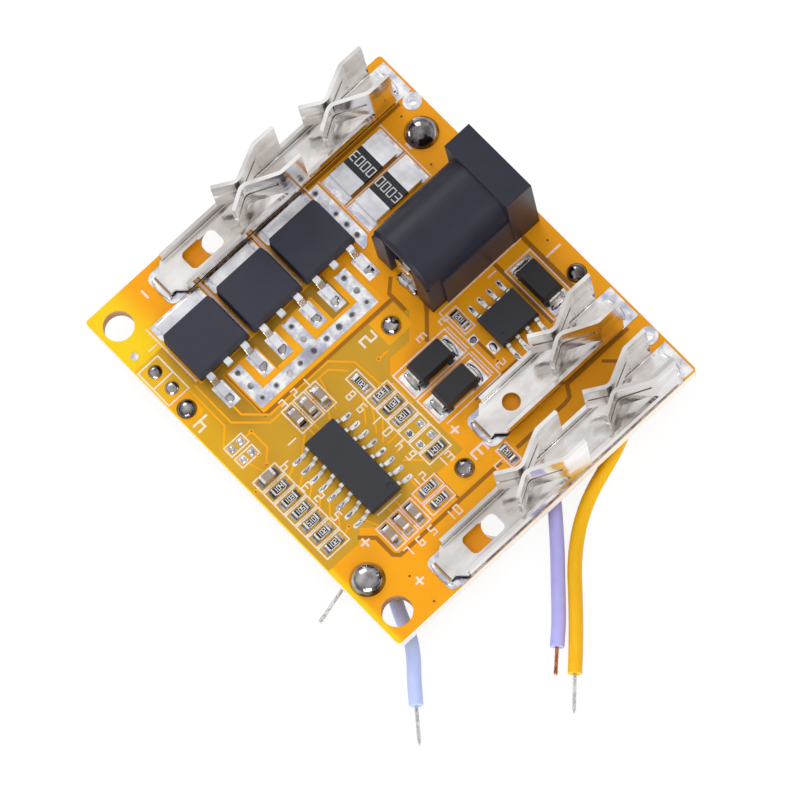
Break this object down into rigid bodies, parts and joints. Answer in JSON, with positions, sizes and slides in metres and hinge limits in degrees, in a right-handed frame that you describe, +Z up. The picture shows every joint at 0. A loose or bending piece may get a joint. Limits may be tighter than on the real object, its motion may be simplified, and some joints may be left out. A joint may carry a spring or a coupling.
{
  "type": "battery management board",
  "caption": "Flat circuit board for a battery pack with stamped spring-clip terminals along its edges, a round charging jack, power transistors and loose sense wires.",
  "frame": {"origin": "centre of the board in plan, on the plane that its leg tips stand on", "axes": "+X along the board's long side, towards the positive terminal strip; +Y towards the charging jack's mouth; +Z up, out of the component side"},
  "size_m": [0.0627, 0.0455, 0.015],
  "materials": {
    "board": "glossy solder mask",
    "tin": "bright tinning",
    "strips": "bright nickel plate",
    "jack": "satin moulding",
    "contacts": "tin plate",
    "mouldings": "fine matt moulding",
    "leads": "tin plate",
    "shunts": "bright ends and a dark coat between",
    "resistors": "dark glaze with plated ends",
    "capacitors": "ceramic with plated ends",
    "solder": "bright solder",
    "wire_yellow": "soft insulation",
    "wire_violet": "soft insulation",
    "wire_blue": "soft insulation",
    "wire_grey": "soft insulation",
    "copper_core": "bare copper strands",
    "tinned_core": "tinned strands"
  },
  "bodies": {
    "root": {"board": "board", "tinned_copper": "tin", "strip_negative": "strips", "strip_charge": "strips", "strip_positive": "strips", "jack_housing": "jack", "jack_pin": "contacts", "jack_spring": "contacts", "jack_switch": "contacts", "fet_body_1": "mouldings", "fet_body_2": "mouldings", "fet_body_3": "mouldings", "fet_frame_1": "leads", "fet_frame_2": "leads", "fet_frame_3": "leads", "shunt_1": "shunts", "shunt_2": "shunts", "controller_body": "mouldings", "controller_leads": "leads", "gate_body": "mouldings", "gate_leads": "leads", "diode_body_1": "mouldings", "diode_body_2": "mouldings", "diode_body_3": "mouldings", "diode_leads_1": "leads", "diode_leads_2": "leads", "diode_leads_3": "leads", "res_front_1": "resistors", "res_front_2": "resistors", "res_front_3": "resistors", "res_front_4": "resistors", "res_front_5": "resistors", "res_front_6": "resistors", "res_mid_1": "resistors", "res_mid_2": "resistors", "res_mid_3": "resistors", "res_mid_4": "resistors", "res_single_1": "resistors", "res_single_2": "resistors", "res_single_3": "resistors", "res_single_4": "resistors", "res_single_5": "resistors", "cap_left_1": "capacitors", "cap_left_2": "capacitors", "cap_left_3": "capacitors", "cap_right_1": "capacitors", "cap_right_2": "capacitors", "cap_right_3": "capacitors", "cap_front": "capacitors", "power_joints": "solder", "tap_joints": "solder", "wire_yellow": "wire_yellow", "wire_violet": "wire_violet", "wire_blue": "wire_blue", "wire_grey": "wire_grey", "core_yellow": "tinned_core", "core_violet": "copper_core", "core_blue": "tinned_core", "core_grey": "tinned_core"}
  },
  "joints": []
}
